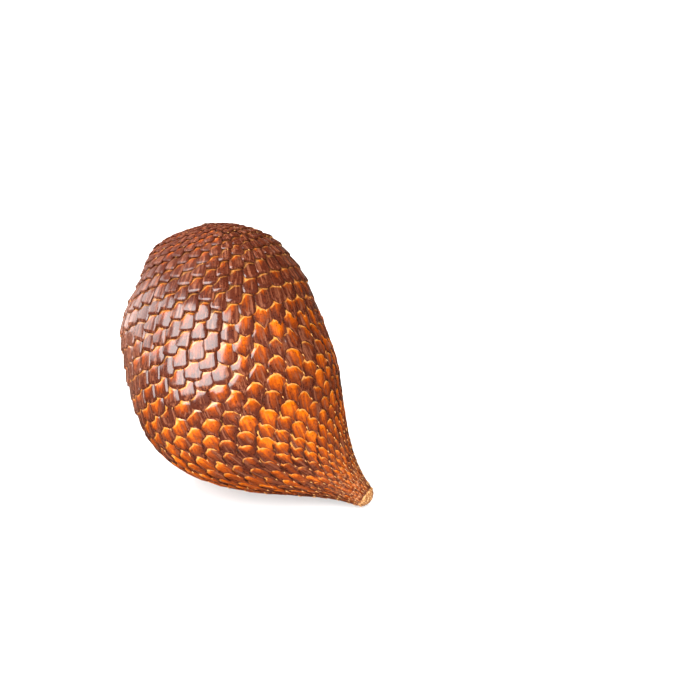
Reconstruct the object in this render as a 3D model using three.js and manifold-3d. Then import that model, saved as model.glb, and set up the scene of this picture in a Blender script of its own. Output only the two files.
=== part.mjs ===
// Snake fruit (salak): one whole scaly fruit with a full belly, a rounded blunt end and a neck that
// bends towards its corky tip. It lies on the small flat spot under its belly, and the tip touches the
// same surface. Millimetres, +Z up. The origin is the middle of the flat spot; +X runs towards the tip.

import * as THREE from 'three';
import { mergeVertices } from 'three/addons/utils/BufferGeometryUtils.js';
import Module from 'manifold-3d';

const { degToRad, clamp, lerp, smoothstep } = THREE.MathUtils;
const FULL_TURN = 2 * Math.PI;

// Body. Its length runs along the middle line, and places on it are shares of that length, counted
// from the blunt end.
const LENGTH = 72;
const BELLY_RADIUS = 22.2;
const BELLY_AT = 0.48;
const HEAD_FULLNESS = 2.55; // 2 makes the blunt end an ellipse, more makes it blunter
const NECK_LATENESS = 0.97; // more lets the belly run on further before the neck narrows
const NECK_SLIMNESS = 1.64;
const TIP_RADIUS = 2.3;
const TIP_ROUNDING = 2.1; // length of the round end of the tip

// The middle line runs straight from the blunt end, bends over one stretch and runs straight again.
const BEND_ANGLE = degToRad(43.5);
const BEND_START = 0.32;
const BEND_STRETCH = 0.4;
const BEND_TOWARDS = degToRad(10); // in the cross-section, from +Y towards +Z
const LEAN_START = 0.12; // from here to the tip the cross-sections slowly lean into the bend

// Sides pressed flatter by the fruits that grew beside it. They fade out towards the tip.
const PRESSED_SIDES = [
  { count: 3, depth: 0.031, turnedBy: degToRad(-60) },
  { count: 2, depth: 0.026, turnedBy: degToRad(108) },
];
const PRESSED_FADE = 1.16;

// Gentle swellings of the skin, and dents where the height is below zero.
const SWELLINGS = [
  { height: 1.15, share: 0.11, turn: 0.5, shareReach: 0.05, turnReach: 0.07 },
  { height: -0.95, share: 0.225, turn: 0.51, shareReach: 0.045, turnReach: 0.06 },
  { height: 0.8, share: 0.33, turn: 0.515, shareReach: 0.05, turnReach: 0.07 },
  { height: 0.6, share: 0.17, turn: 0.07, shareReach: 0.05, turnReach: 0.05 },
  { height: -0.6, share: 0.36, turn: 0.055, shareReach: 0.05, turnReach: 0.05 },
];
const FULL_SWELL_RADIUS = 6; // the swellings die out where the fruit is slimmer

// The dry remains of the flower, in the middle of the blunt end.
const STIGMA_HEIGHT = 0.7;
const STIGMA_RADIUS = 1.6;

// The scales follow one spiral from the blunt end to the tip, so many to a turn that each row stands half
// a scale round from the last. Each one lies between the scales LEFT_STEP and RIGHT_STEP further on.
const SCALES_ROUND = 37.5;
const LEFT_STEP = 38;
const RIGHT_STEP = 37;
const ROW_DISTANCE = 4.2; // the longest distance from one row to the next
const BARE_HEAD = 0.012; // shares of the skin that carry no scales
const BARE_TIP = 0.03;
// The distance between rows at places along the skin, as a share of the longest one.
const ROW_PLACES = [0, 0.28, 0.42, 0.6, 0.8, 0.9, 1];
const ROW_SHARES = [0.22, 0.76, 0.9, 0.78, 0.66, 0.45, 0.28];
// The rows tilt where the fruit bends, since they crowd on its outer side, and the columns drift a little.
const ROW_TILT = { height: 0.0546, middle: 0.477, reach: 0.457 };
const DRIFT = { height: 0.0184, middle: 0.461, reach: 0.441 };
const BEND_SIDE_STEEPNESS = 1.6; // how sharply the tilt changes from the inner side of the bend to the outer
// Past the belly the columns spread on one side of the fruit and crowd on the other.
const SPREAD = { height: 0.045, turn: 0.32, start: 0.38, end: 0.58 };
const SCALE_RISE = 0.35;
const SCALE_PEAK_AT = 0.66; // share of a scale's own length, from its upper corner
const FULL_RISE_RADIUS = 12; // where the fruit is slimmer, its smaller scales rise less

// How deep the belly is pressed flat where the fruit rests.
const FLAT_DEPTH = 0.7;

/** Distance of the skin from the middle line on an unpressed fruit: a blunt oval, a drawn neck, a round tip. */
function radiusAt(share) {
  if (share < BELLY_AT) {
    const back = (BELLY_AT - share) / BELLY_AT;
    return BELLY_RADIUS * Math.sqrt(Math.max(1 - back ** HEAD_FULLNESS, 0));
  }
  const onward = (share - BELLY_AT) / (1 - BELLY_AT);
  const narrowing = Math.cos((Math.PI / 2) * onward ** NECK_LATENESS) ** NECK_SLIMNESS;
  const rounding = clamp(1 - ((1 - share) * LENGTH) / TIP_ROUNDING, 0, 1);
  return lerp(TIP_RADIUS, BELLY_RADIUS, narrowing) * Math.sqrt(1 - rounding ** 2);
}

/** Half the lengthwise section of a straight fruit: x is the share of its length, in millimetres. */
class Outline extends THREE.Curve {
  getPoint(t) {
    const share = (1 - Math.cos(Math.PI * t)) / 2;
    return new THREE.Vector2(share * LENGTH, radiusAt(share));
  }
}

/** How far the middle line has turned at a share of its length. */
function bendAt(share) {
  return BEND_ANGLE * smoothstep(share, BEND_START, BEND_START + BEND_STRETCH);
}

/** How far the cross-sections have leant into the bend at a share of the length. */
function leanAt(share) {
  return BEND_ANGLE * smoothstep(share, LEAN_START, 1);
}

/** The middle line, walked in short steps in the plane it bends in. */
function middleLine() {
  const steps = 240;
  const at = new THREE.Vector2();
  const points = [at.clone()];
  for (let step = 0; step < steps; step += 1) {
    const heading = bendAt((step + 0.5) / steps);
    at.x += (Math.cos(heading) * LENGTH) / steps;
    at.y += (Math.sin(heading) * LENGTH) / steps;
    points.push(at.clone());
  }
  return new THREE.SplineCurve(points);
}

const outline = new Outline();
outline.arcLengthDivisions = 800;
const middle = middleLine();

/** How far the skin swells at a share of its length and a turn round it: a bell for each swelling. */
function swellAt(share, turn) {
  return SWELLINGS.reduce((height, swelling) => {
    const onward = (share - swelling.share) / swelling.shareReach;
    const aside = turn - swelling.turn - Math.round(turn - swelling.turn);
    return height + swelling.height * Math.exp(-(onward ** 2) - (aside / swelling.turnReach) ** 2);
  }, 0);
}

/** A point of the skin, at a share of its length from end to end and a turn round it, raised by rise. */
function skinPoint(share, turn, rise) {
  const section = outline.getPointAt(share);
  const along = section.x / LENGTH;
  const around = turn * FULL_TURN;
  const fade = (1 - clamp((along - BELLY_AT) / (1 - BELLY_AT), 0, 1)) ** PRESSED_FADE;
  let reach = 1;
  for (const side of PRESSED_SIDES) {
    reach += fade * side.depth * Math.cos(side.count * (around - side.turnedBy));
  }
  const swell = swellAt(share, turn) * Math.min(section.y / FULL_SWELL_RADIUS, 1);
  const radius = section.y * reach + swell + rise * Math.min(section.y / FULL_RISE_RADIUS, 1);
  const lean = leanAt(along);
  const towards = radius * Math.cos(around - BEND_TOWARDS);
  const across = radius * Math.sin(around - BEND_TOWARDS);
  const onLine = middle.getPoint(along);
  const out = onLine.y + towards * Math.cos(lean);
  const stigma = STIGMA_HEIGHT * Math.exp(-((radius / STIGMA_RADIUS) ** 2)) * (along < BELLY_AT ? 1 : 0);
  return new THREE.Vector3(
    onLine.x - towards * Math.sin(lean) - stigma,
    out * Math.cos(BEND_TOWARDS) - across * Math.sin(BEND_TOWARDS),
    out * Math.sin(BEND_TOWARDS) + across * Math.cos(BEND_TOWARDS),
  );
}

/** The distance between rows at a share of the skin's length, as a share of that length. */
function rowDistanceAt(share) {
  const next = ROW_PLACES.findIndex((place) => place > share);
  const part = (share - ROW_PLACES[next - 1]) / (ROW_PLACES[next] - ROW_PLACES[next - 1]);
  return (ROW_DISTANCE * lerp(ROW_SHARES[next - 1], ROW_SHARES[next], part)) / outline.getLength();
}

/** The spiral, walked scale by scale: it climbs one row's distance in a turn. */
function spiralShares() {
  const shares = [BARE_HEAD];
  while (shares.at(-1) < 1 - BARE_TIP) {
    shares.push(shares.at(-1) + rowDistanceAt(shares.at(-1)) / SCALES_ROUND);
  }
  return shares;
}

const scaleShares = spiralShares();

/** One wave over a stretch of the skin's length, as an angle from -PI to PI. */
function waveAt(share, stretch) {
  return Math.PI * clamp((share - stretch.middle) / stretch.reach, -1, 1);
}

/** Where a scale stands: its share of the skin's length and its turn. Both ends close in one point. */
function scalePlace(number) {
  const evenTurn = number / SCALES_ROUND;
  if (number <= 0) return { share: 0, turn: evenTurn };
  if (number >= scaleShares.length) return { share: 1, turn: evenTurn };
  const even = scaleShares[number];
  const drifted = evenTurn - DRIFT.height * Math.cos(waveAt(even, DRIFT));
  const spread = SPREAD.height * smoothstep(even, SPREAD.start, SPREAD.end);
  const turn = drifted + spread * Math.sin((drifted - SPREAD.turn) * FULL_TURN);
  const bendSide = Math.tanh(BEND_SIDE_STEEPNESS * Math.cos(turn * FULL_TURN - BEND_TOWARDS));
  return { share: even + ROW_TILT.height * bendSide * Math.sin(waveAt(even, ROW_TILT)), turn };
}

/** The scaly skin: a low four-sided pyramid over each scale's diamond, with its peak near the free end. */
function scalySkin() {
  const positions = [];
  const addFace = (...corners) => {
    const flat = corners.some((corner, i) => corner.distanceTo(corners[(i + 1) % 3]) < 1e-6);
    if (!flat) corners.forEach((corner) => positions.push(...corner));
  };
  const wholeStep = LEFT_STEP + RIGHT_STEP;
  const turnsPassed = wholeStep / SCALES_ROUND;
  for (let number = 1 - wholeStep; number < scaleShares.length; number += 1) {
    const places = [0, LEFT_STEP, wholeStep, RIGHT_STEP].map((step) => scalePlace(number + step));
    const corners = places.map((place) => skinPoint(place.share, place.turn, 0));
    const peakShare = lerp(places[0].share, places[2].share, SCALE_PEAK_AT);
    const peakTurn = lerp(places[0].turn + turnsPassed, places[2].turn, SCALE_PEAK_AT);
    const whole = number > 0 && number + wholeStep < scaleShares.length;
    const peak = skinPoint(peakShare, peakTurn, whole ? SCALE_RISE : 0);
    corners.forEach((corner, i) => addFace(corner, corners[(i + 1) % 4], peak));
  }
  const geometry = new THREE.BufferGeometry();
  geometry.setAttribute('position', new THREE.Float32BufferAttribute(positions, 3));
  return mergeVertices(geometry);
}

/** Points of the smooth skin over one stretch of its length. */
function smoothSkin(from, to) {
  const rows = 60;
  const turns = 240;
  const points = [];
  for (let row = 0; row <= rows; row += 1) {
    for (let turn = 0; turn < turns; turn += 1) {
      points.push(skinPoint(lerp(from, to, row / rows), turn / turns, 0));
    }
  }
  return points;
}

/** A point once the fruit dips by an angle. */
function dipped(point, dip) {
  return point.clone().applyAxisAngle(new THREE.Vector3(0, 1, 0), dip);
}

/** The lowest of some points once the fruit dips by an angle. */
function lowestOf(points, dip) {
  return points.map((point) => dipped(point, dip)).reduce((low, point) => (point.z < low.z ? point : low));
}

/**
 * Lays the fruit down: it dips until the tip comes down to the surface that presses the belly flat, and
 * turns until the tip lies over the X axis.
 */
function layDown(geometry) {
  const belly = smoothSkin(0.15, 0.7);
  const tip = smoothSkin(0.9, 1);
  let low = 0;
  let high = Math.PI / 3;
  for (let halving = 0; halving < 20; halving += 1) {
    const dip = (low + high) / 2;
    const tipIsUp = lowestOf(tip, dip).z > lowestOf(belly, dip).z + FLAT_DEPTH;
    if (tipIsUp) low = dip;
    else high = dip;
  }
  const flat = lowestOf(belly, high);
  const end = dipped(skinPoint(1, 0, 0), high).sub(flat);
  geometry.rotateY(high).translate(-flat.x, -flat.y, -flat.z - FLAT_DEPTH);
  return geometry.rotateZ(-Math.atan2(end.y, end.x));
}

const wasm = await Module();
wasm.setup();

/** A closed geometry as a solid that can be cut. */
function solidFrom(geometry) {
  const shell = geometry.clone();
  shell.deleteAttribute('normal');
  shell.deleteAttribute('uv');
  const merged = mergeVertices(shell);
  const vertProperties = new Float32Array(merged.attributes.position.array);
  const triVerts = new Uint32Array(merged.index.array);
  return new wasm.Manifold(new wasm.Mesh({ numProp: 3, vertProperties, triVerts }));
}

/** A solid as a geometry again. */
function geometryFrom(solid) {
  const mesh = solid.getMesh();
  const geometry = new THREE.BufferGeometry();
  geometry.setAttribute('position', new THREE.BufferAttribute(mesh.vertProperties, 3));
  geometry.setIndex(new THREE.BufferAttribute(mesh.triVerts, 1));
  geometry.computeVertexNormals();
  return geometry;
}

/** The whole fruit, cut flat where it rests. */
function snakeFruit() {
  const surface = new THREE.BoxGeometry(3 * LENGTH, 3 * LENGTH, LENGTH).translate(0, 0, -LENGTH / 2);
  return geometryFrom(solidFrom(layDown(scalySkin())).subtract(solidFrom(surface)));
}

const salakSkin = new THREE.MeshStandardMaterial({ color: 0x9c4a1c, roughness: 0.42, metalness: 0 });

const fruit = new THREE.Mesh(snakeFruit(), salakSkin);
fruit.name = 'snake_fruit';

const part = new THREE.Group();
part.add(fruit);

export default part;
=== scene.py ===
"""Salak, or snake fruit: a whole fruit on a pale floor, dressed scale by scale over its frame."""

import math
from functools import partial
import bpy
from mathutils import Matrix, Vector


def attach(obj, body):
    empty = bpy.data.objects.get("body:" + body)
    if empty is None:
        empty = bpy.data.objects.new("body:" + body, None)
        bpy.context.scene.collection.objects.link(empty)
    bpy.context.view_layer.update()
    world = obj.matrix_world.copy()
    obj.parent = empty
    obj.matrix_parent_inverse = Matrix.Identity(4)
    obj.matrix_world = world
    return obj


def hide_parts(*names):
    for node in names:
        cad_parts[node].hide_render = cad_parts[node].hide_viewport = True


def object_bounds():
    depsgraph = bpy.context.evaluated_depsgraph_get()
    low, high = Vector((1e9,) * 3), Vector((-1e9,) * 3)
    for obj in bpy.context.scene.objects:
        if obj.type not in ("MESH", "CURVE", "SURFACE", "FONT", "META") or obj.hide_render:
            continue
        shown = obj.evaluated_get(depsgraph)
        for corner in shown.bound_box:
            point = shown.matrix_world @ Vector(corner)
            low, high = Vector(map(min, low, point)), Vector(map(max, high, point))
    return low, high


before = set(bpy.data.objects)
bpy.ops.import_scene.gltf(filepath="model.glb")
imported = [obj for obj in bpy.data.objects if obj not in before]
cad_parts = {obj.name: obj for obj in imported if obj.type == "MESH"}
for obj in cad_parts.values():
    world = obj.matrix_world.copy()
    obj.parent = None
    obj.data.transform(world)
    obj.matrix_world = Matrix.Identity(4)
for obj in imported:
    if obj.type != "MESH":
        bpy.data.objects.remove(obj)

from types import SimpleNamespace

import bpy
import numpy as np
from mathutils import Matrix, Vector

CAD_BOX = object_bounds()

bl_info = {
    "name": "Salak Fruit",
    "version": (1, 0, 0),
    "blender": (4, 5, 0),
    "location": "3D View > Sidebar > Salak",
    "description": "Builds a salak's skin, scales, prickles, ends and studio around its frame",
    "category": "Object",
}

MM = 0.001
TURN = 2 * math.pi
NODE = "snake_fruit"
SEED = 29

# Body, in millimetres. Places along it are shares of its length, counted from the blunt end.
LENGTH = 72.0
BELLY_RADIUS = 22.2
BELLY_AT = 0.48
HEAD_FULLNESS = 2.55
NECK_LATENESS = 0.97
NECK_SLIMNESS = 1.64
TIP_RADIUS = 2.3
TIP_ROUNDING = 2.1

# The middle line bends over one stretch, and the cross-sections lean into the bend slowly.
BEND_ANGLE = math.radians(43.5)
BEND_START = 0.32
BEND_STRETCH = 0.4
BEND_TOWARDS = math.radians(10)
LEAN_START = 0.12

# Sides pressed flatter by the neighbours in the bunch: how many, how deep, and where round it.
PRESSED_SIDES = ((3, 0.031, math.radians(-60)), (2, 0.026, math.radians(108)))
PRESSED_FADE = 1.16
# Swellings and dents: height, share and turn of the middle, and reach in share and in turn.
UNEVEN = (
    (1.15, 0.11, 0.5, 0.05, 0.07),
    (-0.95, 0.225, 0.51, 0.045, 0.06),
    (0.8, 0.33, 0.515, 0.05, 0.07),
    (0.6, 0.17, 0.07, 0.05, 0.05),
    (-0.6, 0.36, 0.055, 0.05, 0.05),
)
FULL_SWELL_RADIUS = 6.0

# How deep the belly is pressed flat where it rests, the stretches of skin that touch the surface,
# the grid that finds their lowest points, and how the dip of the fruit is found.
FLAT_DEPTH = 0.7
BELLY_STRETCH = (0.15, 0.7)
TIP_STRETCH = (0.9, 1)
REST_ROWS = 61
REST_COLUMNS = 240
STEEPEST_DIP = math.pi / 3
HALVINGS = 20
# What would lie below the surface is pressed into a layer of this height.
PRESS_HEIGHT = 0.22

# Steps of the walk along the section and the middle line, and of share and turn for a slope.
SECTION_STEPS = 4000
LINE_STEPS = 2000
SLOPE_STEP = 2e-4

# The scales stand on one spiral, so many to a turn that each row stands half a scale round from
# the last.
SCALES_ROUND = 37.5
BARE_HEAD = 0.012
BARE_TIP = 0.03
LATTICE_STEPS = 2999
# Distance between rows: a share of the longest near the head, over the belly, down the neck and
# at the tip.
ROW_AT = (0.0, 0.28, 0.42, 0.6, 0.8, 0.9, 1.0)
ROW_SHARE = (0.22, 0.76, 0.9, 0.78, 0.66, 0.45, 0.28)
# The rows tilt where the fruit bends, since they crowd on its outer side. The tilt steps softly
# from the inner side to the outer one. The columns drift a little.
ROW_TILT = 0.088
ROW_TILT_MIDDLE = 0.477
ROW_TILT_REACH = 0.457
TILT_STEP_HEIGHT = 0.62
TILT_STEP_STEEPNESS = 1.6
DRIFT = 0.0184
DRIFT_MIDDLE = 0.461
DRIFT_REACH = 0.441
# Past the belly the columns spread on one side of the fruit and crowd on the other.
SPREAD = 0.045
SPREAD_MIDDLE = 0.32
SPREAD_BEGINS = (0.38, 0.58)


def linear(code):
    """An sRGB hex colour as linear red, green, blue and full cover: a low channel is divided by
    12.92, and any other is raised by 0.055, divided by 1.055 and taken to the power of 2.4."""
    channels = [int(code[i : i + 2], 16) / 255 for i in (1, 3, 5)]
    return (
        *(c / 12.92 if c <= 0.04045 else ((c + 0.055) / 1.055) ** 2.4 for c in channels),
        1.0,
    )


def smooth(x, low, high):
    """0 below low, 1 above high, and between them three squares of the way less two cubes."""
    t = np.clip((x - low) / (high - low), 0, 1)
    return t * t * (3 - 2 * t)


def mix(a, b, share):
    """Straight blend from a to b."""
    return a + (b - a) * share


def unit(vectors):
    """Each vector divided by its length."""
    return vectors / np.linalg.norm(vectors, axis=-1, keepdims=True)


def radius_at(share):
    """Distance of the skin from the middle line: a blunt oval up to the belly, then a
    cosine-shaped neck with a round end."""
    share = np.asarray(share, float)
    back = np.clip((BELLY_AT - share) / BELLY_AT, 0, 1)
    head = BELLY_RADIUS * np.sqrt(np.maximum(1 - back**HEAD_FULLNESS, 0))
    onward = np.clip((share - BELLY_AT) / (1 - BELLY_AT), 0, 1)
    narrowing = np.maximum(np.cos(math.pi / 2 * onward**NECK_LATENESS), 0) ** NECK_SLIMNESS
    rounding = np.clip(1 - (1 - share) * LENGTH / TIP_ROUNDING, 0, 1)
    neck = mix(TIP_RADIUS, BELLY_RADIUS, narrowing) * np.sqrt(np.maximum(1 - rounding**2, 0))
    return np.where(share < BELLY_AT, head, neck)


def lean_at(share):
    """How far the cross-sections have leant into the bend: its angle times one soft step."""
    return BEND_ANGLE * smooth(share, LEAN_START, 1.0)


# Half the lengthwise section of the straight fruit, and the length of skin walked along it.
_walk = (1 - np.cos(math.pi * np.linspace(0, 1, SECTION_STEPS + 1))) / 2
SECTION_X = _walk * LENGTH
SECTION_R = radius_at(_walk)
SKIN_WALK = np.concatenate([[0], np.cumsum(np.hypot(np.diff(SECTION_X), np.diff(SECTION_R)))])
SKIN_LENGTH = SKIN_WALK[-1]

# The middle line, walked in short steps in the plane it bends in.
LINE_SHARE = np.linspace(0, 1, LINE_STEPS + 1)
_between = (LINE_SHARE[1:] + LINE_SHARE[:-1]) / 2
_heading = BEND_ANGLE * smooth(_between, BEND_START, BEND_START + BEND_STRETCH)
LINE_X = np.concatenate([[0], np.cumsum(np.cos(_heading))]) * LENGTH / LINE_STEPS
LINE_Y = np.concatenate([[0], np.cumsum(np.sin(_heading))]) * LENGTH / LINE_STEPS


def uneven(share, turn):
    """Sum of the swellings and dents, each a bell over the share of the length and the turn."""
    height = 0.0
    for tall, at_share, at_turn, share_reach, turn_reach in UNEVEN:
        away = (share - at_share) / share_reach
        aside = ((turn - at_turn + 0.5) % 1 - 0.5) / turn_reach
        height = height + tall * np.exp(-(away**2) - aside**2)
    return height


def upright_skin(share, turn):
    """Points of the smooth skin before the fruit is laid down: a leaning, slightly three-sided
    ring of the section's radius round the bent middle line, for a share of the skin's length and
    a turn round it."""
    walked = np.clip(share, 0, 1) * SKIN_LENGTH
    along = np.interp(walked, SKIN_WALK, SECTION_X) / LENGTH
    around = turn * TURN
    fade = (1 - np.clip((along - BELLY_AT) / (1 - BELLY_AT), 0, 1)) ** PRESSED_FADE
    reach = 1 + sum(fade * depth * np.cos(n * (around - by)) for n, depth, by in PRESSED_SIDES)
    section = np.interp(walked, SKIN_WALK, SECTION_R)
    swell = uneven(share, turn) * np.minimum(section / FULL_SWELL_RADIUS, 1)
    radius = section * reach + swell
    lean = lean_at(along)
    towards = radius * np.cos(around - BEND_TOWARDS)
    across = radius * np.sin(around - BEND_TOWARDS)
    out = np.interp(along, LINE_SHARE, LINE_Y) + towards * np.cos(lean)
    return np.stack(
        [
            np.interp(along, LINE_SHARE, LINE_X) - towards * np.sin(lean),
            out * math.cos(BEND_TOWARDS) - across * math.sin(BEND_TOWARDS),
            out * math.sin(BEND_TOWARDS) + across * math.cos(BEND_TOWARDS),
        ],
        -1,
    )


def grid(start, end, rows, columns):
    """Evenly spaced shares from start to end, each with evenly spaced turns."""
    return np.meshgrid(np.linspace(start, end, rows), np.arange(columns) / columns, indexing="ij")


def lay_down():
    """How the fruit lies: the dip that brings its tip down to the surface that presses its belly
    flat, found by halving, then the turn that puts the tip over X. Gives the rotation matrix and
    the place of the flat."""

    def height(points, dip):
        return points[:, 2] * math.cos(dip) - points[:, 0] * math.sin(dip)

    belly, tip = (
        upright_skin(*grid(*stretch, REST_ROWS, REST_COLUMNS)).reshape(-1, 3)
        for stretch in (BELLY_STRETCH, TIP_STRETCH)
    )
    low, high = 0.0, STEEPEST_DIP
    for _ in range(HALVINGS):
        dip = (low + high) / 2
        if height(tip, dip).min() > height(belly, dip).min() + FLAT_DEPTH:
            low = dip
        else:
            high = dip
    c, s = math.cos(high), math.sin(high)
    dipping = np.array([[c, 0, s], [0, 1, 0], [-s, 0, c]])
    flat = dipping @ belly[height(belly, high).argmin()]
    end = dipping @ upright_skin(1.0, 0.0) - flat
    aside = -math.atan2(end[1], end[0])
    c, s = math.cos(aside), math.sin(aside)
    turning = np.array([[c, -s, 0], [s, c, 0], [0, 0, 1]])
    return turning @ dipping, turning @ (flat + np.array([0, 0, FLAT_DEPTH]))


LAY, FLAT_PLACE = lay_down()


def skin(share, turn):
    """Points of the smooth skin of the lying fruit, in millimetres."""
    return upright_skin(share, turn) @ LAY.T - FLAT_PLACE


def skin_slopes(share, turn):
    """The skin's change per share and per turn, by small differences, and its outward normal,
    the cross product of the two changes made one long."""
    step = SLOPE_STEP
    share = np.clip(share, 2 * step, 1 - 2 * step)
    per_share = (skin(share + step, turn) - skin(share - step, turn)) / (2 * step)
    per_turn = (skin(share, turn + step) - skin(share, turn - step)) / (2 * step)
    return per_share, per_turn, unit(np.cross(per_turn, per_share))


def rested(points):
    """Presses what would lie below the resting surface into a thin layer just above it, where
    height falls off exponentially."""
    z = points[..., 2]
    pressed = PRESS_HEIGHT * np.exp(np.minimum(z / PRESS_HEIGHT - 1, 0))
    points[..., 2] = np.where(z < PRESS_HEIGHT, pressed, z)
    return points


DISTANCE = {"unit": "LENGTH", "subtype": "DISTANCE"}
# Name, label, description and sRGB hex code of each colour that a user would change.
COLOURS = (
    ("tip_colour", "Scale tip", "Dry free end of a scale", "#4a1f12"),
    ("fresh_colour", "Scale body", "Fresh part of a scale", "#9c4206"),
    ("middle_colour", "Scale middle", "Middle of a scale", "#76300c"),
    ("root_colour", "Scale root", "Fresh root of a scale", "#c46004"),
    ("rim_colour", "Root rim", "Palest line at a root", "#e6a050"),
    ("thread_colour", "Dry thread", "Pale dry threads at a tip", "#8c5238"),
    ("buff_colour", "Buff", "Little dry scales by the tip", "#cc8c60"),
    ("cork_colour", "Cork", "Broken corky tip", "#a06a3a"),
    ("floor_colour", "Floor", "Studio floor", "#b4b3b2"),
)


class SalakSettings(bpy.types.PropertyGroup):
    """Sizes and colours that a user would change."""

    row_distance: bpy.props.FloatProperty(
        name="Row distance",
        description="Longest distance from one row of scales to the next",
        default=4.2 * MM,
        **DISTANCE,
    )
    scale_lift: bpy.props.FloatProperty(
        name="Scale lift",
        description="How far a scale's free edge stands off the skin",
        default=0.26 * MM,
        **DISTANCE,
    )
    scale_crown: bpy.props.FloatProperty(
        name="Scale crown",
        description="How far the middle of a scale bulges over its edges",
        default=0.36 * MM,
        **DISTANCE,
    )


for _key, _label, _description, _code in COLOURS:
    SalakSettings.__annotations__[_key] = bpy.props.FloatVectorProperty(
        name=_label, description=_description, size=4, subtype="COLOR", default=linear(_code)
    )


def settings():
    """The settings of the scene that is being built."""
    return bpy.context.scene.salak


def mesh_piece(name, points, faces, material, attributes=(), sharp=None):
    """Makes a piece from points in millimetres and arrays of faces, each array with one number of
    corners. Attributes are (name, values of three numbers a point), and sharp is the angle in
    degrees past which an edge is kept sharp."""
    mesh = bpy.data.meshes.new(name)
    mesh.vertices.add(len(points))
    mesh.vertices.foreach_set("co", (points * MM).astype(np.float32).ravel())
    corners = np.concatenate([f.ravel() for f in faces]).astype(np.int32)
    sizes = np.concatenate([np.full(len(f), f.shape[1]) for f in faces])
    mesh.loops.add(len(corners))
    mesh.loops.foreach_set("vertex_index", corners)
    mesh.polygons.add(len(sizes))
    starts = np.concatenate([[0], np.cumsum(sizes)[:-1]]).astype(np.int32)
    mesh.polygons.foreach_set("loop_start", starts)
    mesh.polygons.foreach_set("use_smooth", np.ones(len(sizes), bool))
    mesh.update(calc_edges=True)
    if mesh.validate():
        raise RuntimeError(f"{name}: the mesh has faults")
    for label, values in attributes:
        mesh.attributes.new(label, "FLOAT_VECTOR", "POINT").data.foreach_set(
            "vector", np.asarray(values, np.float32).ravel()
        )
    if sharp:
        mesh.set_sharp_from_angle(angle=math.radians(sharp))
    mesh.materials.append(material)
    piece = bpy.data.objects.new(name, mesh)
    bpy.context.scene.collection.objects.link(piece)
    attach(piece, "root")
    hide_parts(NODE)


def tube_piece(name, points, ends, material):
    """Makes a piece from rows of points round it and the two points that close it, with
    four-cornered faces between the rows and three-cornered ones at the ends."""
    rows, columns = points.shape[:2]
    here = np.arange(rows * columns).reshape(rows, columns)
    beside = np.roll(here, -1, 1)
    sides = np.stack([here[:-1], here[1:], beside[1:], beside[:-1]], -1).reshape(-1, 4)
    first = np.full(columns, rows * columns)
    start = np.stack([first, here[0], beside[0]], -1)
    end = np.stack([first + 1, beside[-1], here[-1]], -1)
    faces = [sides, np.concatenate([start, end])]
    mesh_piece(name, np.concatenate([points.reshape(-1, 3), ends]), faces, material)


def feed(made, inputs):
    """Gives each of a node's inputs a value, or a link from the socket that feeds it."""
    for key, value in inputs.items():
        if isinstance(value, bpy.types.NodeSocket):
            made.id_data.links.new(value, made.inputs[key])
        else:
            made.inputs[key].default_value = value


def node(tree, kind, inputs=None, stops=(), out=0, **settings_):
    """Adds a node with its settings and links, and gives its output number out. Stops are a
    ramp's (place, colour) pairs."""
    made = tree.nodes.new("ShaderNode" + kind)
    for key, value in settings_.items():
        setattr(made, key, value)
    feed(made, inputs or {})
    for number, (place, colour) in enumerate(stops):
        elements = made.color_ramp.elements
        element = elements[number] if number < len(elements) else elements.new(1.0)
        element.position = place
        element.color = colour
    return made.outputs[out]


def new_material(name):
    """An empty material, what adds a node to it, and its shader."""
    material = bpy.data.materials.new(name)
    material.use_nodes = True
    tree = material.node_tree
    return material, partial(node, tree), tree.nodes["Principled BSDF"]


# The level direction of the limb that is painted paler: a painted reflection.
PAINTED_RIM_SIDE = (-0.87, -0.49, 0.0)


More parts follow.
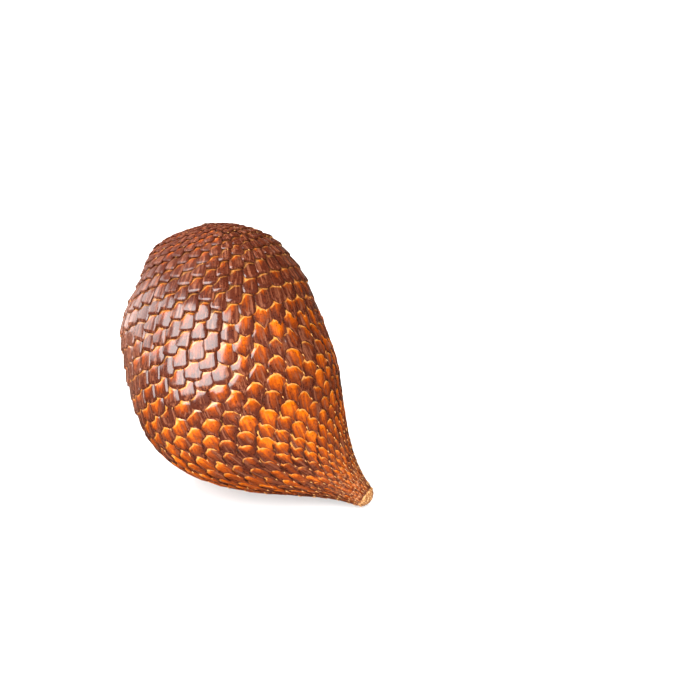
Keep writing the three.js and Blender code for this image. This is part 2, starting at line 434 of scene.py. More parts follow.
def scale_material():
    """Salak skin scale: a dry, waxy, leathery scale, grown and not worked. Wax gives a broad soft
    sheen, the root stays fresh and orange with a pale rim, and the free end dries to a dull
    purple brown in lengthwise streaks. Painted shade darkens the crevices below the scales above,
    painted light from the floor brightens the scales near the ground, and a painted reflection
    pales one limb."""
    s = settings()
    material, add, shader = new_material("salak_scale_waxy")
    # Millimetres out from under the scales above, millimetres in from the scale's own edge, and
    # the place from side to side. Then two numbers of chance, and how near the neck it grew.
    place = add("Attribute", attribute_name="scale_place", out="Vector")
    clear, edge, side = (add("SeparateXYZ", {0: place}, out=i) for i in range(3))
    mood = add("Attribute", attribute_name="scale_mood", out="Vector")
    chance, other, ripe = (add("SeparateXYZ", {0: mood}, out=i) for i in range(3))
    where = add("TexCoord", out="Object")
    # Clouds of 1.1 mm, patches of 14 mm, flakes of 0.7 mm, and grain of 0.4 mm, coarser than the
    # real 0.1 mm to show.
    cloud = add("TexNoise", {"Vector": where, "Scale": 900.0, "Detail": 3.0})
    wide = add("TexNoise", {"Vector": where, "Scale": 70.0, "Detail": 2.0})
    flake = add("TexNoise", {"Vector": where, "Scale": 1500.0, "Detail": 3.0, "Roughness": 0.75})
    flake = add("MapRange", {0: flake, 1: 0.48, 2: 0.66})
    grain = add("TexNoise", {"Vector": where, "Scale": 2600.0, "Detail": 2.0})
    # Streaks run along a scale: they change quickly from side to side, and slowly with the
    # distance from its edge.
    across = add("Math", {0: chance, 1: 40.0, 2: side}, operation="MULTIPLY_ADD")
    down = add("Math", {0: edge, 1: 0.22}, operation="MULTIPLY")
    apart = add("Math", {0: other, 1: 40.0}, operation="MULTIPLY")
    lane = add("CombineXYZ", {0: across, 1: down, 2: apart})
    streak = add("TexNoise", {"Vector": lane, "Scale": 3.2, "Detail": 3.0, "Roughness": 0.65})

    # A scale is drier from its root to its free edge. Patterns and chance move this. Near the
    # neck it stays fresher. Near the ground it is fresher and brighter orange: painted light,
    # bounced up from the floor.
    clear = add("Math", {0: clear, 1: 0.0}, operation="MAXIMUM")
    edge = add("Math", {0: edge, 1: 0.02}, operation="MAXIMUM")
    whole = add("Math", {0: clear, 1: edge}, operation="ADD")
    dryness = add("Math", {0: clear, 1: whole}, operation="DIVIDE")
    sides = add("Math", {0: side, 1: side}, operation="MULTIPLY")
    lower = add("MapRange", {0: ripe, 1: 0.42, 2: 0.62})
    height = add("SeparateXYZ", {0: where}, out=2)
    # Painted light from below: 1 within 5 mm of the floor, fading to 0 at 14.5 mm above it.
    painted_floor_light = add("MapRange", {0: height, 1: 0.0145, 2: 0.005})
    gains = ((cloud, 0.5), (streak, 1.1), (wide, 0.8), (chance, 0.42), (lower, -0.35))
    for source, gain in (*gains, (sides, 0.12), (painted_floor_light, -0.26)):
        dryness = add("Math", {0: source, 1: gain, 2: dryness}, operation="MULTIPLY_ADD")
    dryness = add("Math", {0: dryness, 1: 1.16}, operation="SUBTRACT")
    places = (0.02, 0.27, 0.47, 0.68)
    colours = (s.root_colour, s.fresh_colour, s.middle_colour, s.tip_colour)
    colour = add("ValToRGB", {"Fac": dryness}, tuple(zip(places, colours)))

    rim = add("MapRange", {0: clear, 1: 0.42, 2: 0.1}, interpolation_type="SMOOTHSTEP")
    broken = (streak, 0.34, 0.54, 0.25)
    # How far each point lies towards the limb with the painted reflection, in metres.
    outward = add("VectorMath", {0: where, 1: PAINTED_RIM_SIDE}, out=1, operation="DOT_PRODUCT")
    # Each layer's colour covers the last as far as the product of its masks. A mask is a source
    # and its range, with the mask's values at the ends of the range when they aren't 0 and 1.
    layers = (
        # A pale broken line rims the root, strongest on the neck.
        (s.rim_colour, rim, (edge, 0.15, 0.9), broken, (ripe, 0.05, 0.6, 0.2, 0.95)),
        # Painted shade: just below the edge of the scales above, the crevice is darkened to near
        # black, less on the neck.
        (linear("#26100a"), (clear, -0.02, 0.1, 1.0, 0.0), (ripe, 0.4, 0.62, 0.85, 0.25)),
        # Dry threads show pale and purplish on the free end.
        (s.thread_colour, (streak, 0.52, 0.62, 0.0, 0.65), (dryness, 0.35, 0.7)),
        # Towards the corky end the little scales dry to buff.
        (s.buff_colour, (ripe, 0.8, 0.98, 0.0, 0.6), flake),
        # The limb that faces that direction is painted a pale pinkish brown in flakes: a painted
        # reflection of bright surroundings where the skin turns away.
        (linear("#b98068"), (outward, 0.0225, 0.028, 0.0, 0.52), (flake, 0.0, 1.0, 0.3)),
    )
    for over, *masks in layers:
        masks = [add("MapRange", dict(enumerate(m))) if type(m) is tuple else m for m in masks]
        cover = masks[0]
        for mask in masks[1:]:
            cover = add("Math", {0: cover, 1: mask}, operation="MULTIPLY")
        colour = add("Mix", {0: cover, 6: colour, 7: over}, out=2, data_type="RGBA")
    speck = add("ValToRGB", {"Fac": grain}, ((0.3, linear("#a09595")), (0.44, linear("#ffffff"))))
    specked = {0: 0.75, 6: colour, 7: speck}
    colour = add("Mix", specked, out=2, data_type="RGBA", blend_type="MULTIPLY")

    # The leathery skin is dull, and its coat of wax shines least on the head.
    rough = add("Math", {0: cloud, 1: 0.2, 2: 0.2}, operation="MULTIPLY_ADD")
    rough = add("Math", {0: other, 1: 0.1, 2: rough}, operation="MULTIPLY_ADD")
    waxy = add("MapRange", {0: ripe, 1: 0.14, 2: 0.3, 3: 0.2})
    dull = add("MapRange", {0: ripe, 1: 0.14, 2: 0.32, 3: 0.5, 4: 0.17})
    bump = add("Bump", {"Height": grain, "Strength": 0.5, "Distance": 0.00016})
    for pattern, strength, deep in ((cloud, 0.7, 0.0005), (streak, 0.3, 0.0003)):
        under = {"Height": pattern, "Strength": strength, "Distance": deep, "Normal": bump}
        bump = add("Bump", under)
    wax = {"Coat Weight": waxy, "Coat Roughness": dull, "Coat IOR": 1.75}
    # Fine dry prickles and dust catch the light where the skin turns away.
    dust = {"Sheen Weight": 0.14, "Sheen Roughness": 0.22, "Sheen Tint": linear("#e8c8b8")}
    skin_itself = {"Base Color": colour, "Roughness": rough, "Normal": bump, "IOR": 1.45}
    feed(shader, {**skin_itself, "Specular IOR Level": 0.05, **wax, **dust})
    return material


def under_skin_material():
    """The thin skin between the scales: dull, dark and dry, in clouds of 0.8 mm. Its darkness is
    partly its own colour and partly painted shade for the gaps between the scales.
    """
    material, add, shader = new_material("salak_skin_between_scales")
    where = add("TexCoord", out="Object")
    cloud = add("TexNoise", {"Vector": where, "Scale": 1200.0, "Detail": 3.0})
    stops = ((0.3, linear("#2a120a")), (0.7, linear("#6b2f14")))
    feed(shader, {"Base Color": add("ValToRGB", {"Fac": cloud}, stops), "Roughness": 0.7})
    return material


def prickle_material():
    """Prickle: brittle dry spine, straw-coloured and slightly glossy."""
    material, _, shader = new_material("salak_prickle_dry")
    feed(shader, {"Base Color": linear("#d79a58"), "Roughness": 0.45})
    return material


def cork_material():
    """Broken stalk end: dry corky fibre, torn from the bunch. Matt, pale tan and full of small
    dark pores, drawn 0.4 mm wide, coarser than the real 0.1 mm to show."""
    material, add, shader = new_material("salak_cork_torn")
    where = add("TexCoord", out="Object")
    grain = add("TexNoise", {"Vector": where, "Scale": 2600.0, "Detail": 4.0})
    stops = ((0.34, linear("#6a3a20")), (0.5, settings().cork_colour), (0.68, linear("#dcb27c")))
    colour = add("ValToRGB", {"Fac": grain}, stops)
    bump = add("Bump", {"Height": grain, "Strength": 0.6, "Distance": 0.0004})
    feed(shader, {"Base Color": colour, "Roughness": 0.85, "Normal": bump})
    return material


def remains_material():
    """Withered flower: papery, dry and dark brown, with creases of 0.6 mm."""
    material, add, shader = new_material("salak_flower_withered")
    where = add("TexCoord", out="Object")
    crumple = add("TexNoise", {"Vector": where, "Scale": 1600.0, "Detail": 4.0})
    stops = ((0.36, linear("#24120b")), (0.7, linear("#7a5238")))
    feed(shader, {"Base Color": add("ValToRGB", {"Fac": crumple}, stops), "Roughness": 0.8})
    return material


def floor_material():
    """Studio floor: matt white acrylic table, cast and lit from below. It leaves only a faint
    shadow."""
    material, _, shader = new_material("floor_acrylic_lit_from_below")
    dull = {"Base Color": settings().floor_colour, "Roughness": 0.9, "Specular IOR Level": 0.1}
    feed(shader, {**dull, "Emission Color": linear("#ffffff"), "Emission Strength": 0.5})
    return material


def scale_lattice():
    """Where the scales stand. The spiral climbs one row's distance a turn. Where the fruit bends,
    a scale moves lengthwise by a sine of its share times a soft step from the bend's inner side
    to its outer one, and round by a cosine of its share. Past the belly it moves round by a sine
    of its turn too. Gives each scale's share and turn, the row distance there in share, and how
    wide the columns are beside an even share of the turn."""
    share = np.linspace(BARE_HEAD, 1 - BARE_TIP, LATTICE_STEPS + 1)
    row = settings().row_distance / MM / SKIN_LENGTH * np.interp(share, ROW_AT, ROW_SHARE)
    rows = np.concatenate([[0], np.cumsum(np.diff(share) * 2 / (row[1:] + row[:-1]))])
    k = np.arange(int(rows[-1] * SCALES_ROUND))
    base = np.interp((k + 0.5) / SCALES_ROUND, rows, share)
    swing = np.clip((base - DRIFT_MIDDLE) / DRIFT_REACH, -1, 1) * math.pi
    even = k / SCALES_ROUND - DRIFT * np.cos(swing)
    spread = SPREAD * smooth(base, *SPREAD_BEGINS)
    turn = even + spread * np.sin((even - SPREAD_MIDDLE) * TURN)
    width = 1 + spread * TURN * np.cos((even - SPREAD_MIDDLE) * TURN)
    outward = np.cos(turn * TURN - BEND_TOWARDS)
    outer = -TILT_STEP_HEIGHT * np.tanh(TILT_STEP_STEEPNESS * outward)
    wave = np.clip((ROW_TILT_MIDDLE - base) / ROW_TILT_REACH, -1, 1) * math.pi
    at = base + ROW_TILT * outer * np.sin(wave)
    tilted = np.abs(wave) < math.pi
    stretch = 1 - ROW_TILT * math.pi / ROW_TILT_REACH * outer * np.cos(wave) * tilted
    at = np.clip(at, BARE_HEAD, 1 - BARE_TIP)
    return at, turn, np.interp(base, share, row) * stretch, width


# Pairs for the blunt scales of head and belly and the pointed ones of the neck. Lengths and the
# free edge's place are in rows, half widths in columns, a root's width is a share of the full
# one, and bluntness is how far a free edge falls short at its sides.
LENGTH_IN_ROWS = (1.6, 1.98)
AHEAD_IN_ROWS = (0.5, 0.68)
HALF_IN_COLUMNS = (0.49, 0.55)
ROOT_WIDTH = (0.95, 0.8)
BLUNTNESS = (0.06, 0.37)
# Where the one kind turns into the other. On the side that faced the sun this begins sooner: by
# how much, the middle of that side, how it starts round the fruit, and where along it this ends.
NECK_KIND = (0.4, 0.64)
SUNNY_SHIFT = 0.17
SUNNY_TURN = 0.08
SUNNY_ROUND = (0.1, 0.8)
SUNNY_ENDS = (0.55, 0.75)
# Lean of the scales on head and belly, in degrees: the least, how much more on one side of the
# fruit, the middle of that side, and where along it this begins and ends.
LEAN_LEAST = 3
LEAN_MORE = 8
LEAN_TURN = 0.32
LEAN_BEGINS = (0.05, 0.25)
LEAN_ENDS = (0.42, 0.6)
STEEPEST_SLANT = 0.6
# How far chance moves each measure either way, in the order of the draws. Lean is in degrees,
# half width and turn in columns, place in rows, tilt in millimetres, skew in lengths, and the
# others are shares of the measure.
CHANCE = dict(
    lean=4, length=0.05, half=0.025, bluntness=0.08, lift=0.5, crown=0.2, tilt=0.08, skew=0.05,
    place=0.08, turn=0.07,
)
# Scales on columns narrower than this, in millimetres, are thinner in proportion.
FULL_PITCH = 2.2

# A scale's grid: places from side to side, and places along it, counted from where the scales
# above end: below 0 is under them, and 1 is its free edge. Upper is for head and belly, and
# lower for the neck.
ACROSS_UPPER = np.array([-1, -0.89, -0.74, 0, 0.74, 0.89, 1.0])
ACROSS_LOWER = np.array([-1, -0.72, -0.32, 0, 0.32, 0.72, 1.0])
ALONG_UPPER = np.array([-0.16, -0.01, 0.09, 0.26, 0.77, 0.92, 1.0])
ALONG_LOWER = np.array([-0.14, -0.01, 0.06, 0.2, 0.45, 0.75, 1.0])
# The numbers of its points, and of its rim: along the root, down the right side, back along the
# free edge, and up the left side.
GRID = np.arange(len(ALONG_UPPER) * len(ACROSS_UPPER)).reshape(len(ALONG_UPPER), -1)
RIM = np.concatenate([GRID[0, :-1], GRID[:-1, -1], GRID[-1, :0:-1], GRID[:0:-1, 0]])
# The part of the skin that scales may reach over.
SCALED_STRETCH = (0.003, 0.995)
# Least and greatest part of a scale's length that the scales above cover.
COVERED = (0.05, 0.8)
# How a scale widens from its root, and narrows to this share at its free end.
ROOT_WIDENS = (0.1, 0.6)
END_NARROWS = (0.85, 1.0)
END_WIDTH = 0.93

# Scales that can lie over a scale, counted back along the spiral: those of the rows above, and
# the one beside it. Distance past a free edge counts less than past a side, and a scale covers
# only the points that lie further down its length than down their own.
TWO_ROWS_ABOVE = int(2 * SCALES_ROUND)
ROWS_ABOVE = (36, 37, 38, 39, 74, 75, 76)
NEIGHBOUR_BESIDE = (1,)
FREE_EDGE_WEIGHT = 0.85
FURTHER_DOWN = (0.0, 0.12)
FAR = 3.0

# Rise of a scale's top, in millimetres and shares of its crown, and where its soft steps begin
# and end.
ROOT_SINK = 0.36
PILLOW_FROM_ABOVE = (-0.3, 0.35)
PILLOW_FROM_EDGE = (-0.08, 0.28)
PILLOW_CROWN = 0.8
SWELL_FROM_ABOVE = (-0.12, 0.4)
SWELL_ALONG = (0.1, 0.9)
SWELL_CROWN = (1.5, 0.1)
LEAST_EDGE = 0.05
NECK_LIFT = 0.3
KEEL_HEIGHT = (0.03, 0.08)
KEEL_WIDTH = 0.25

# The wall under a scale's rim: its height, how far it stands in at the sides and along the
# scale, and the least half width that this is worked out from.
EDGE_WALL = 0.5
WALL_INSET = 0.08
WALL_BACK = 0.05
LEAST_HALF_WIDTH = 0.3
SHARP_ANGLE = 50


def skin_axes(per_share, normal):
    """The skin's lengthwise direction, which is its change per share made one long, and its
    sideways one, which is the cross product of that and the normal."""
    along = unit(per_share)
    return along, np.cross(along, normal)


def column_slant(at, turn):
    """The angle between the skin's lengthwise direction and the column that each scale stands in,
    which is the line to it from the scale two rows above. The first two rows have none."""
    per_share, _, normal = skin_slopes(at, turn)
    along, across = skin_axes(per_share, normal)
    centres = skin(at, turn)
    number = np.arange(len(at))
    down = centres - centres[np.maximum(number - TWO_ROWS_ABOVE, 0)]
    slant = np.arctan2((down * across).sum(-1), (down * along).sum(-1))
    slant = np.clip(slant, -STEEPEST_SLANT, STEEPEST_SLANT)
    return np.where(number < TWO_ROWS_ABOVE, 0, slant)


def scale_layout():
    """Every scale's place, axes and sizes in millimetres, each with a little chance in it. Sizes
    blend from the blunt scales of head and belly to the pointed ones of the neck, whose columns
    they follow. A scale's own axes are the skin's, turned by its lean. Numbers are columns, one
    row a scale."""
    sizes = settings()
    chance = np.random.default_rng(SEED)
    at, turn, row, width = scale_lattice()
    slant = column_slant(at, turn)
    draws = chance.uniform(-1, 1, (len(CHANCE), len(at)))
    wobble = {name: reach * draw for (name, reach), draw in zip(CHANCE.items(), draws)}
    at = at + row * wobble["place"]
    turn = turn + wobble["turn"] / SCALES_ROUND
    per_share, per_turn, normal = skin_slopes(at, turn)
    row = row * np.linalg.norm(per_share, axis=-1)
    pitch = np.linalg.norm(per_turn, axis=-1) / SCALES_ROUND * width
    sunny = SUNNY_SHIFT * smooth(np.cos((turn - SUNNY_TURN) * TURN), *SUNNY_ROUND)
    ripe = at + sunny * (1 - smooth(at, *SUNNY_ENDS))
    neck = smooth(ripe, *NECK_KIND)
    facing = 0.5 + 0.5 * np.cos((turn - LEAN_TURN) * TURN)
    more = LEAN_MORE * facing * smooth(at, *LEAN_BEGINS) * (1 - smooth(at, *LEAN_ENDS))
    lean = np.radians(LEAN_LEAST + more + wobble["lean"]) + neck * slant
    shrink = np.minimum(pitch / FULL_PITCH, 1)
    along, across = skin_axes(per_share, normal)
    c, s = np.cos(lean)[:, None], np.sin(lean)[:, None]
    numbers = dict(
        at=at, turn=turn, row=row, neck=neck, ripe=ripe, lean=lean, shrink=shrink,
        length=row * mix(*LENGTH_IN_ROWS, neck) * (1 + wobble["length"]),
        ahead=row * mix(*AHEAD_IN_ROWS, neck),
        half=pitch * (mix(*HALF_IN_COLUMNS, neck) + wobble["half"]),
        root=mix(*ROOT_WIDTH, neck),
        bluntness=mix(*BLUNTNESS, neck) * (1 + wobble["bluntness"]),
        skew=wobble["skew"] * (1 - 0.5 * neck),
        lift=sizes.scale_lift / MM * (1 + wobble["lift"]) * shrink,
        crown=sizes.scale_crown / MM * (1 + wobble["crown"]) * shrink,
        tilt=wobble["tilt"] * shrink,
    )
    return SimpleNamespace(
        **{name: values[:, None] for name, values in numbers.items()},
        per_share=per_share,
        per_turn=per_turn,
        normal=normal,
        along=along * c + across * s,
        across=across * c - along * s,
        luck=chance.uniform(0, 1, (3, len(at), 1)),
    )


def on_skin(each, x, y, rise, kept=slice(None)):
    """Wraps flat scales onto the skin: a scale's own axes lean from the skin's lengthwise
    direction, each point's step along them is turned into steps of share and turn, and its rise
    follows the normal there."""
    per_share, per_turn, lean = each.per_share[kept], each.per_turn[kept], each.lean[kept]
    along, across = skin_axes(per_share, each.normal[kept])
    c, s = np.cos(lean), np.sin(lean)
    down_step = y * c - x * s
    side_step = y * s + x * c
    # The skin's turn direction has a part along the fruit too, which the share step takes up.
    side_of_turn = (per_turn * across).sum(-1)[:, None]
    down_of_turn = (per_turn * along).sum(-1)[:, None]
    down_of_share = np.linalg.norm(per_share, axis=-1)[:, None]
    turn_step = side_step / side_of_turn
    share_step = (down_step - turn_step * down_of_turn) / down_of_share
    share = np.clip(each.at[kept] + share_step, *SCALED_STRETCH)
    turns = each.turn[kept] + turn_step
    _, _, up = skin_slopes(share, turns)
    return skin(share, turns) + up * rise[..., None]


class SALAK_OT_skin(bpy.types.Operator):
    """Build the smooth skin that the scales stand on"""

    bl_idname = "salak.skin"
    bl_label = "Skin Under the Scales"

    # The grid, how far the skin is sunk below its place, and where along the fruit this begins,
    # lessens to a part and ends.
    rows, columns = 110, 144
    stretch = (0.002, 0.998)
    sink = 0.3
    begins, lessens, fades = (0.0, 0.05), (0.8, 0.94), (0.96, 0.99)
    lost = 0.7

    def execute(self, context):
        share, turn = grid(*self.stretch, self.rows, self.columns)
        _, _, normal = skin_slopes(share, turn)
        sunk = -self.sink * smooth(share, *self.begins)
        sunk = sunk * (1 - self.lost * smooth(share, *self.lessens))
        sunk = sunk * (1 - smooth(share, *self.fades))
        points = rested(skin(share, turn) + normal * sunk[..., None])
        ends = rested(np.stack([skin(0.0, 0.0), skin(1.0, 0.0)]))
        tube_piece("skin_under_scales", points, ends, under_skin_material())
        return {"FINISHED"}


class SALAK_OT_scales(bpy.types.Operator):
    """Build the overlapping scales, row upon row, pointing to the narrow end"""

    bl_idname = "salak.scales"
    bl_label = "Scales"

    def execute(self, context):
        each = scale_layout()
        a, t, x, y = self.outline(each)
        flat = on_skin(each, x, y, np.zeros(x.shape))
        clear = self.clearance(each, flat, t, ROWS_ABOVE)
        inside = np.minimum(clear, self.clearance(each, flat, t, NEIGHBOUR_BESIDE))
        width = self.half_width(t, each.half, each.root)
        edge = np.minimum(width * (1 - np.abs(a)), each.length * (1 - t))
        rise = self.rises(each, a, t, inside, edge)

        inner = 1 - WALL_INSET / np.maximum(each.half, LEAST_HALF_WIDTH)
        low = rise[:, RIM] - EDGE_WALL * each.shrink
        x = np.concatenate([x, x[:, RIM] * inner], 1)
        y = np.concatenate([y, y[:, RIM] - WALL_BACK], 1)
        points = on_skin(each, x, y, np.concatenate([rise, low], 1))
        wall = np.zeros(low.shape)
        below = ((clear, clear[:, RIM]), (edge, wall), (a, wall))
        place = np.stack([np.concatenate(pair, 1) for pair in below], -1)
        mood = np.stack([each.luck[0], each.luck[1], each.ripe], -1)
        mood = np.repeat(mood, x.shape[1], 1)
        mesh_piece(
            "scales",
            rested(points.reshape(-1, 3)),
            self.faces(*x.shape),
            scale_material(),
            [("scale_place", place.reshape(-1, 3)), ("scale_mood", mood.reshape(-1, 3))],
            sharp=SHARP_ANGLE,
        )
        return {"FINISHED"}

    def outline(self, each):
        """A flat scale's grid: each point's place from side to side and share of the length, and
        the same in millimetres, sideways and down from where the scale stands. The grid's upper
        lines follow the edges of the two scales above."""
        neck, length = each.neck, each.length
        rows, columns = GRID.shape
        a = mix(np.tile(ACROSS_UPPER, rows), np.tile(ACROSS_LOWER, rows), neck)
        t = mix(np.repeat(ALONG_UPPER, columns), np.repeat(ALONG_LOWER, columns), neck)
        short = self.cut_back(a, each.bluntness, neck, each.skew)
        # Where the two scales above end, as a share of this scale's length.
        bare = 1 - each.row / length - self.cut_back(1 - np.abs(a), each.bluntness, neck, 0)
        bare = np.clip(bare * (1 + short * bare**2), *COVERED)
        t = np.maximum(np.where(t < 0, bare + t, bare + (1 - bare) * t), 0)
        x = a * self.half_width(t, each.half, each.root)
        y = t * length * (1 - short * t**2)
        return a, t, x, y - length + each.ahead

    def rises(self, each, a, t, inside, edge):
        """How far each point rises: a straight line from the sunk root to the lifted free edge,
        then a bulge, a slope to one side, and a low keel down the middle that is a bell across.
        On head and belly the bulge is a pillow. On the neck it swells steeply at the root and
        sinks to a flat tip."""
        pillow = smooth(inside, *PILLOW_FROM_ABOVE) * smooth(edge, *PILLOW_FROM_EDGE)
        passed = np.clip(inside, 0, None)
        along_it = passed / (passed + np.clip(edge, LEAST_EDGE, None))
        swell = smooth(inside, *SWELL_FROM_ABOVE)
        swell = swell * mix(*SWELL_CROWN, smooth(along_it, *SWELL_ALONG))
        bulge = mix(PILLOW_CROWN * pillow, swell, each.neck)
        lift = mix(each.lift, NECK_LIFT * each.lift, each.neck)
        rise = mix(-ROOT_SINK * each.shrink, lift, t)
        rise = rise + each.crown * bulge + each.tilt * a * t
        keel = mix(*KEEL_HEIGHT, each.neck) * each.shrink
        return rise + keel * np.exp(-((a / KEEL_WIDTH) ** 2)) * t

    @staticmethod
    def half_width(t, half, root):
        """Half the width along a scale: narrow at its root, full from past its middle, a little
        less at its end."""
        widening = mix(root, 1, smooth(t, *ROOT_WIDENS))
        return half * widening * mix(1, END_WIDTH, smooth(t, *END_NARROWS))

    @staticmethod
    def cut_back(a, bluntness, pointedness, skew):
        """How far the free edge falls short at a side place, as a share of the scale's length.
        The blunt form is a fourth power of the distance from the middle. The pointed form is two
        hollow quarter circles that meet in a point. A slant is added."""
        apart = np.abs(a)
        form = mix(apart**4, np.sqrt(1 - (1 - apart) ** 2), pointedness)
        return bluntness * form + skew * a

    def clearance(self, each, points, t, neighbours):
        """How far each point of each scale lies outside the outlines of the scales above it, in
        millimetres: the least over them of the larger of its distances past their side and past
        their free edge."""
        number = np.arange(len(points))
        centres = skin(each.at, each.turn)
        clear = np.full(points.shape[:2], FAR)
        for back in neighbours:
            above = np.maximum(number - back, 0)
            from_above = points - centres[above]
            length = each.length[above]
            x = (from_above * each.across[above][:, None]).sum(-1)
            y = (from_above * each.along[above][:, None]).sum(-1)
            y = y + (each.length - each.ahead)[above]
            t_above = y / length
            half = self.half_width(np.clip(t_above, 0, 1), each.half[above], each.root[above])
            a = np.clip(x / half, -1, 1)
            form = (v[above] for v in (each.bluntness, each.neck, each.skew))
            past_edge = (y - length * (1 - self.cut_back(a, *form))) * FREE_EDGE_WEIGHT
            past = np.maximum(np.abs(x) - half, past_edge)
            past = past + FAR * (1 - smooth(t_above - t, *FURTHER_DOWN))
            clear = np.where((number >= back)[:, None], np.minimum(clear, past), clear)
        return clear

    @staticmethod
    def faces(count, total):
        """The faces of all scales: the grid, the wall under its rim, and one face that closes it
        below."""
        corners = (GRID[:-1, :-1], GRID[1:, :-1], GRID[1:, 1:], GRID[:-1, 1:])
        low = GRID.size + np.arange(len(RIM))
        wall = np.stack([RIM, np.roll(RIM, -1), np.roll(low, -1), low], -1)
        quads = np.concatenate([np.stack(corners, -1).reshape(-1, 4), wall])
        offset = (np.arange(count) * total)[:, None, None]
        return [(quads + offset).reshape(-1, 4), (low + offset).reshape(count, -1)]


class SALAK_OT_prickles(bpy.types.Operator):
    """Build the tiny brittle prickles that some scales keep at their tips"""

    bl_idname = "salak.prickles"
    bl_label = "Prickles"

    # Share of scales that keep one on head and neck, where that changes, and where they begin.
    keeping = (0.3, 0.8)
    changes = (0.6, 0.85)
    bare_to = 0.06
    # Its corners, its radius and length in millimetres, and shares of these: the least radius,
    # the least length, and how much chance adds.
    corners = 5
    radius, least_radius = 0.13, 0.5
    full_length, least_length, more_length = 0.8, 0.6, 0.8
    # How far it stands back from the free edge, its part of the scale's lift, and its direction
    # along the scale and off the skin.
    back = 0.25
    of_lift = 0.5
    way = (0.9, 0.25)

    def execute(self, context):
        each = scale_layout()
        keeping = mix(*self.keeping, smooth(each.at, *self.changes))
        kept = np.flatnonzero((each.luck[2] < keeping) & (each.at > self.bare_to))
        n = self.corners
        corner = np.arange(n)
        thick = self.radius * np.maximum(each.shrink[kept], self.least_radius)
        length = self.full_length * (self.least_length + self.more_length * each.luck[1][kept])
        x = thick * np.cos(corner / n * TURN)
        y = np.broadcast_to(each.ahead[kept] - self.back, x.shape)
        rise = self.of_lift * each.lift[kept] + thick * np.sin(corner / n * TURN)
        base = on_skin(each, x, y, rise, kept)
        along, off = self.way
        top = base.mean(1) + length * (along * each.along[kept] + off * each.normal[kept])
        points = np.concatenate([base, top[:, None]], 1)
        sides = np.stack([corner, np.full(n, n), (corner + 1) % n], -1)
        offset = (np.arange(len(kept)) * (n + 1))[:, None, None]
        faces = [(sides + offset).reshape(-1, 3), (corner + offset).reshape(-1, n)]
        mesh_piece("scale_prickles", rested(points.reshape(-1, 3)), faces, prickle_material())
        return {"FINISHED"}


class SALAK_OT_ends(bpy.types.Operator):
    """Build the torn corky stalk end and the dry remains of the flower at the blunt end"""

    bl_idname = "salak.ends"
    bl_label = "Cork and Flower Remains"

    # The cork's grid, the stretch it covers, how far its root is sunk, how much of that it comes
    # up again, where it does, and how high its grains stand.
    rows, columns = 16, 40
    stretch = (0.96, 0.9985)
    sink, comes_up = 0.3, 0.25
    rises = (0.96, 0.972)
    grain = 0.3
    # The flower's remains: a low button in millimetres, given by its section's radius and height,
    # with three lobes, roughness of its radius and height, and the points that close it.
    radius = (0.9, 1.7, 1.75, 1.5, 1.15, 0.8, 0.45)
    height = (-0.8, -0.7, -0.1, 0.2, 0.3, 0.22, 0.3)
    around = 36
    lobes, lobe_depth = 3, 0.16
    rough_radius, rough_height = 0.05, 0.08
    closing = ((0.8, 0, 0), (-0.4, 0, 0))

    def execute(self, context):
        chance = np.random.default_rng(SEED + 1)
        self.cork(chance)
        self.flower(chance)
        return {"FINISHED"}

    def cork(self, chance):
        """A torn, grainy cap: the skin moved in and out along its normal."""
        share, turn = grid(*self.stretch, self.rows, self.columns)
        _, _, normal = skin_slopes(share, turn)
        risen = smooth(share, *self.rises)
        grains = chance.uniform(0, 1, share.shape) * self.grain * risen
        rise = -self.sink + self.comes_up * risen + grains
        points = skin(share, turn) + normal * rise[..., None]
        ends = np.stack([points[0].mean(0), skin(1.0, 0.0)])
        tube_piece("cork_stalk_end", rested(points), rested(ends), cork_material())

    def flower(self, chance):
        """A low three-lobed button: its radius swells by a cosine of three times the turn."""
        radius, height = (np.array(v)[:, None] for v in (self.radius, self.height))
        turns = np.arange(self.around) / self.around * TURN
        shape = (len(radius), len(turns))
        lobed = 1 + self.lobe_depth * np.cos(self.lobes * turns)
        reach = radius * lobed * (1 + self.rough_radius * chance.uniform(-1, 1, shape))
        up = height + self.rough_height * chance.uniform(-1, 1, shape)
        local = np.stack([-up, reach * np.cos(turns), reach * np.sin(turns)], -1)
        foot = skin(0.0, 0.0)
        points, ends = (v @ LAY.T + foot for v in (local, np.array(self.closing)))
        tube_piece("flower_remains", points, ends, remains_material())


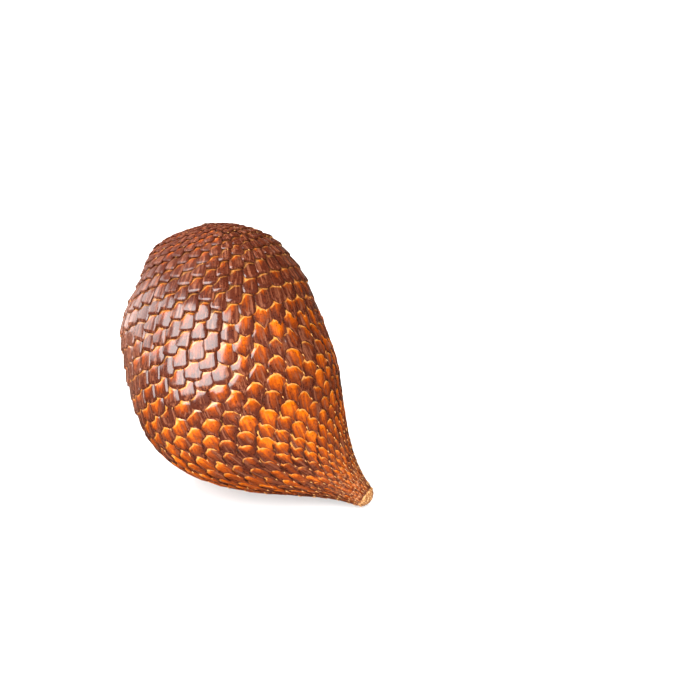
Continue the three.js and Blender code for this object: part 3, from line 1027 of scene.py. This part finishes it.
class SALAK_OT_studio(bpy.types.Operator):
    """Build the floor, lights, surroundings and camera"""

    bl_idname = "salak.studio"
    bl_label = "Studio"

    # The camera looks from this far round and above, in degrees, with the fruit left of the
    # middle. Its distance and the two shifts of its aim are in metres, its lens and sensor in
    # millimetres.
    azimuth = 29.2
    elevation = 34.0
    distance = 0.7
    lens = 170.9
    sensor = 36
    nearest = 0.01
    aside = 0.0202
    above = 0.00257
    half_floor = 3.0
    # Brightness of the surroundings on the camera's right and on its left.
    dim, bright = 0.1, 1.5
    # Each light's name, degrees round and above, distance and size in metres, power in watts, and
    # whether the wax may mirror it.
    lights = (
        ("key_softbox", -31.0, 44.0, 0.55, (0.52, 0.54), 5.3, True),
        ("fill_without_glare", 88.0, 52.0, 0.6, (0.5, 0.5), 5.2, False),
        ("low_fill_without_glare", 18.0, 2.0, 0.6, (0.7, 0.09), 4.8, False),
        ("low_card_at_left", -92.0, 9.0, 0.6, (0.6, 0.3), 1.6, True),
        ("rim_fill_without_glare", -131.0, 36.0, 0.6, (0.5, 0.4), 9.5, False),
    )

    def execute(self, context):
        scene = context.scene
        low, high = CAD_BOX
        centre = (low + high) / 2
        back = self.direction(self.azimuth, self.elevation)
        right = -self.direction(self.azimuth - 90, 0)
        up = back.cross(right)
        camera = bpy.data.objects.new("camera", bpy.data.cameras.new("camera"))
        camera.data.lens = self.lens
        camera.data.sensor_width = self.sensor
        camera.data.clip_start = self.nearest
        camera.location = centre + right * self.aside + up * self.above + back * self.distance
        camera.rotation_mode = "QUATERNION"
        camera.rotation_quaternion = (-back).to_track_quat("-Z", "Y")
        scene.collection.objects.link(camera)
        scene.camera = camera
        self.floor(scene)
        for light in self.lights:
            self.softbox(scene, centre, up, *light)
        self.surroundings(scene, right)
        scene.view_settings.view_transform = "Standard"
        return {"FINISHED"}

    @staticmethod
    def direction(azimuth, elevation):
        """The direction that lies so many degrees round from straight in front, and above."""
        a, e = math.radians(azimuth), math.radians(elevation)
        return Vector((math.sin(a) * math.cos(e), -math.cos(a) * math.cos(e), math.sin(e)))

    def floor(self, scene):
        """A wide square sheet at the height that the fruit rests on."""
        half = self.half_floor
        mesh = bpy.data.meshes.new("floor")
        corners = [(-half, -half, 0), (half, -half, 0), (half, half, 0), (-half, half, 0)]
        mesh.from_pydata(corners, [], [(0, 1, 2, 3)])
        mesh.materials.append(floor_material())
        sheet = bpy.data.objects.new("floor", mesh)
        scene.collection.objects.link(sheet)
        sheet.visible_glossy = False

    def softbox(self, scene, centre, up, name, azimuth, elevation, distance, size, power, glare):
        """A rectangular light that faces the fruit, with its upright sides along up."""
        way = self.direction(azimuth, elevation)
        data = bpy.data.lights.new(name, "AREA")
        data.shape = "RECTANGLE"
        data.size, data.size_y = size
        data.energy = power
        box = bpy.data.objects.new(name, data)
        box.location = centre + way * distance
        box.rotation_mode = "QUATERNION"
        aside = up.cross(way).normalized()
        turned = Matrix((aside, way.cross(aside), way)).transposed()
        box.rotation_quaternion = turned.to_quaternion()
        box.visible_glossy = glare
        scene.collection.objects.link(box)

    def surroundings(self, scene, right):
        """Pale walls, bright on the camera's left and dim on its right: brightness follows how
        far a direction points to the left."""
        world = bpy.data.worlds.new("studio")
        scene.world = world
        world.use_nodes = True
        world.cycles_visibility.glossy = False
        tree = world.node_tree
        add = partial(node, tree)
        way = add("TexCoord", out="Generated")
        left = add("VectorMath", {0: way, 1: -right}, out=1, operation="DOT_PRODUCT")
        walls = {0: left, 3: self.dim, 4: self.bright}
        level = add("MapRange", walls, interpolation_type="SMOOTHSTEP")
        feed(tree.nodes["Background"], {"Strength": level, "Color": linear("#ffffff")})


class SALAK_PT_panel(bpy.types.Panel):
    """The salak's steps and settings in the sidebar"""

    bl_idname = "SALAK_PT_panel"
    bl_label = "Salak"
    bl_space_type = "VIEW_3D"
    bl_region_type = "UI"
    bl_category = "Salak"

    def draw(self, context):
        for step in STEPS:
            self.layout.operator(step.bl_idname)
        for name in SalakSettings.__annotations__:
            self.layout.prop(context.scene.salak, name)


STEPS = (SALAK_OT_skin, SALAK_OT_scales, SALAK_OT_prickles, SALAK_OT_ends, SALAK_OT_studio)
CLASSES = (SalakSettings, *STEPS, SALAK_PT_panel)


def register():
    """Adds the classes and the scene's settings."""
    for each in CLASSES:
        bpy.utils.register_class(each)
    bpy.types.Scene.salak = bpy.props.PointerProperty(type=SalakSettings)


def unregister():
    """Takes them out again."""
    del bpy.types.Scene.salak
    for each in reversed(CLASSES):
        bpy.utils.unregister_class(each)


def main():
    """Builds every piece in order."""
    register()
    for step in STEPS:
        group, name = step.bl_idname.split(".")
        getattr(getattr(bpy.ops, group), name)()


if __name__ == "__main__":
    main()
